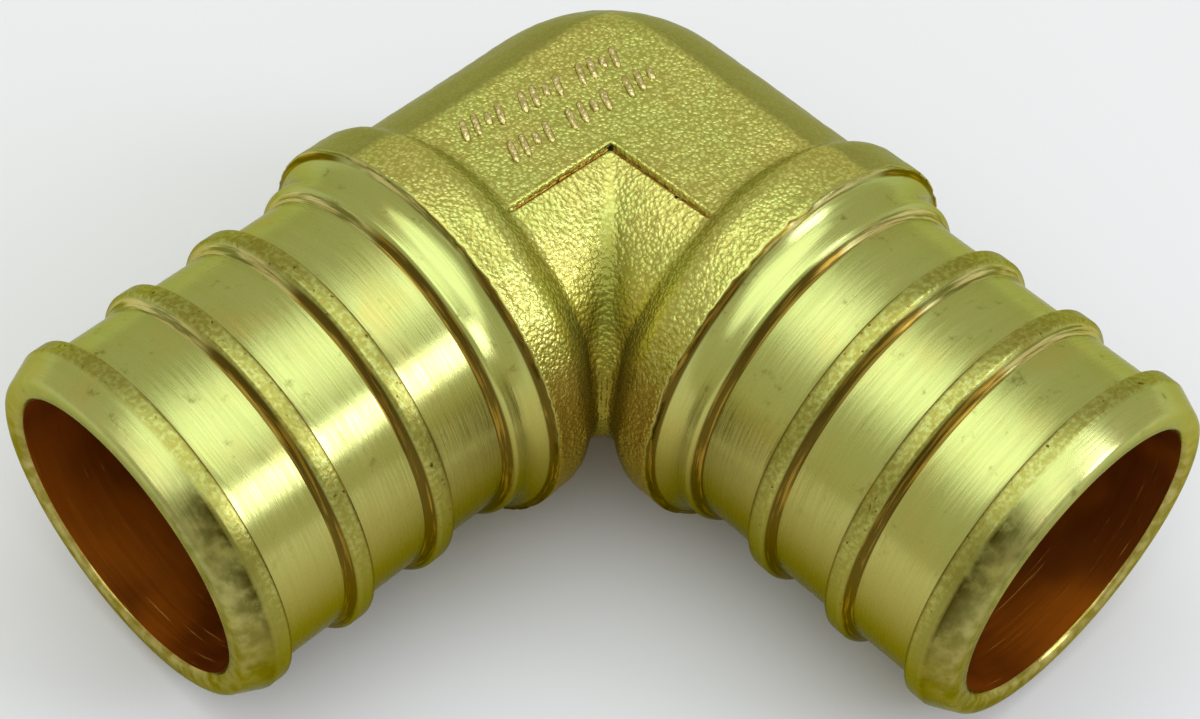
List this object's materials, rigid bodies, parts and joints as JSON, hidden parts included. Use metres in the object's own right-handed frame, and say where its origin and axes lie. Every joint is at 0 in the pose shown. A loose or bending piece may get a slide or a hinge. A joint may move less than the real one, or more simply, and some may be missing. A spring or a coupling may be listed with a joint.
{
  "type": "pipe crimp elbow",
  "caption": "Right-angle forged brass elbow for crimped plastic pipe, with a ribbed insert end on each leg, a collar as the pipe stop and a flat land on the bend.",
  "frame": {"origin": "centre of the bounding box; the two bore axes meet 12.45 mm from it in -X and in -Y, on the same level", "axes": "+X out of the first end along its bore, +Y out of the second end along its bore, +Z square to both, up as it lies on its side"},
  "size_m": [0.0496, 0.0496, 0.0248],
  "materials": {
    "brass": "ends turned bright, corner left granular as forged"
  },
  "bodies": {
    "root": {"elbow_body": "brass"}
  },
  "joints": []
}
